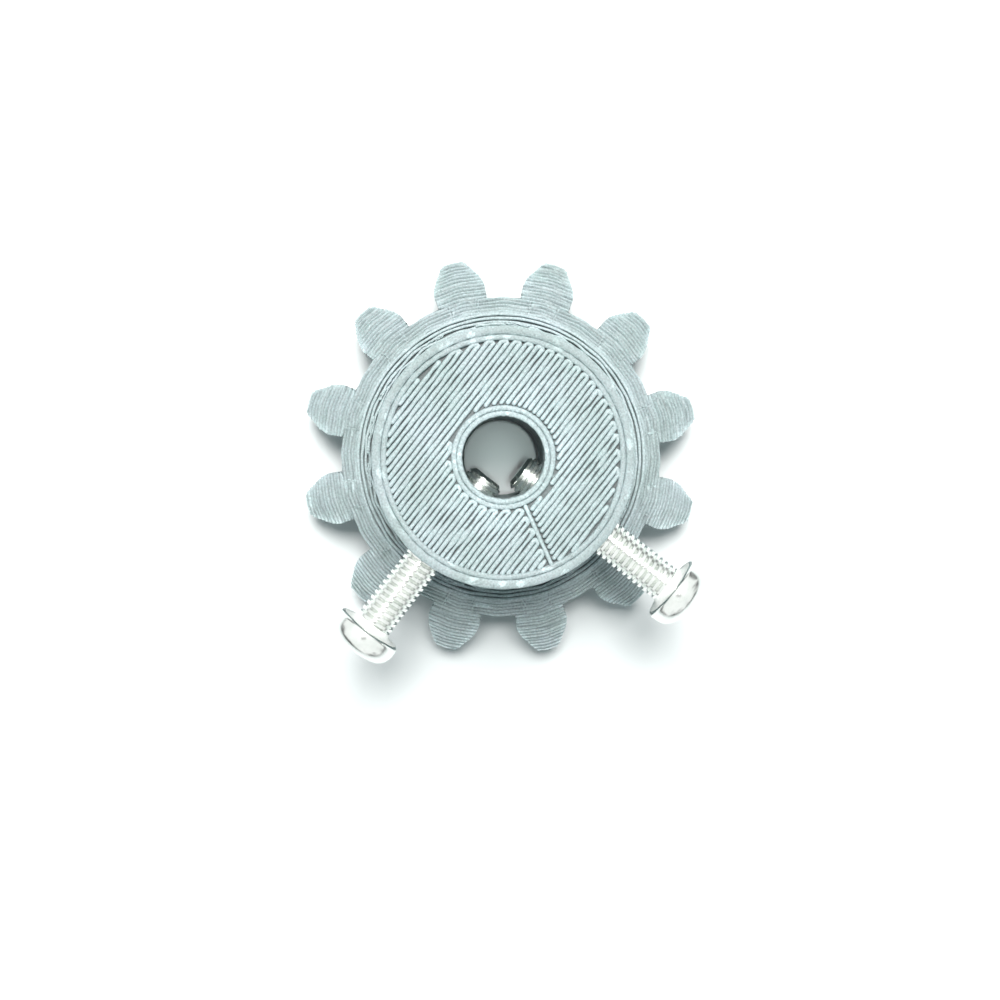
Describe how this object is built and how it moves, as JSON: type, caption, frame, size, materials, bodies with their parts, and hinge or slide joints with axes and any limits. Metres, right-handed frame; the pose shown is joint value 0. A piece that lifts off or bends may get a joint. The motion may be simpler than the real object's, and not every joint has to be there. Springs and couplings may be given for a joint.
{
  "type": "extruder bevel gear",
  "caption": "Printed straight bevel gear with a cylindrical hub, a through bore for a shaft, and radial cross-recess set screws that clamp the shaft.",
  "frame": {"origin": "centre of the bore where it opens into the hollow toe of the gear", "axes": "+Z along the bore, towards the hub face; one set screw lies along -Y and the other along +X"},
  "size_m": [0.0354, 0.0357, 0.0203],
  "materials": {
    "printed_plastic": "layered filament, satin",
    "plated_steel": "bright zinc plated"
  },
  "bodies": {
    "gear": {"bevel_gear": "printed_plastic"},
    "front_screw": {"set_screw_front": "plated_steel"},
    "right_screw": {"set_screw_right": "plated_steel"}
  },
  "joints": [
    {"name": "front_screw_travel", "type": "slide", "parent": "gear", "child": "front_screw", "axis": [0, -1, 0], "range_m": [-0.00025, 0.006]},
    {"name": "right_screw_travel", "type": "slide", "parent": "gear", "child": "right_screw", "axis": [1, 0, 0], "range_m": [-0.001, 0.006]}
  ]
}
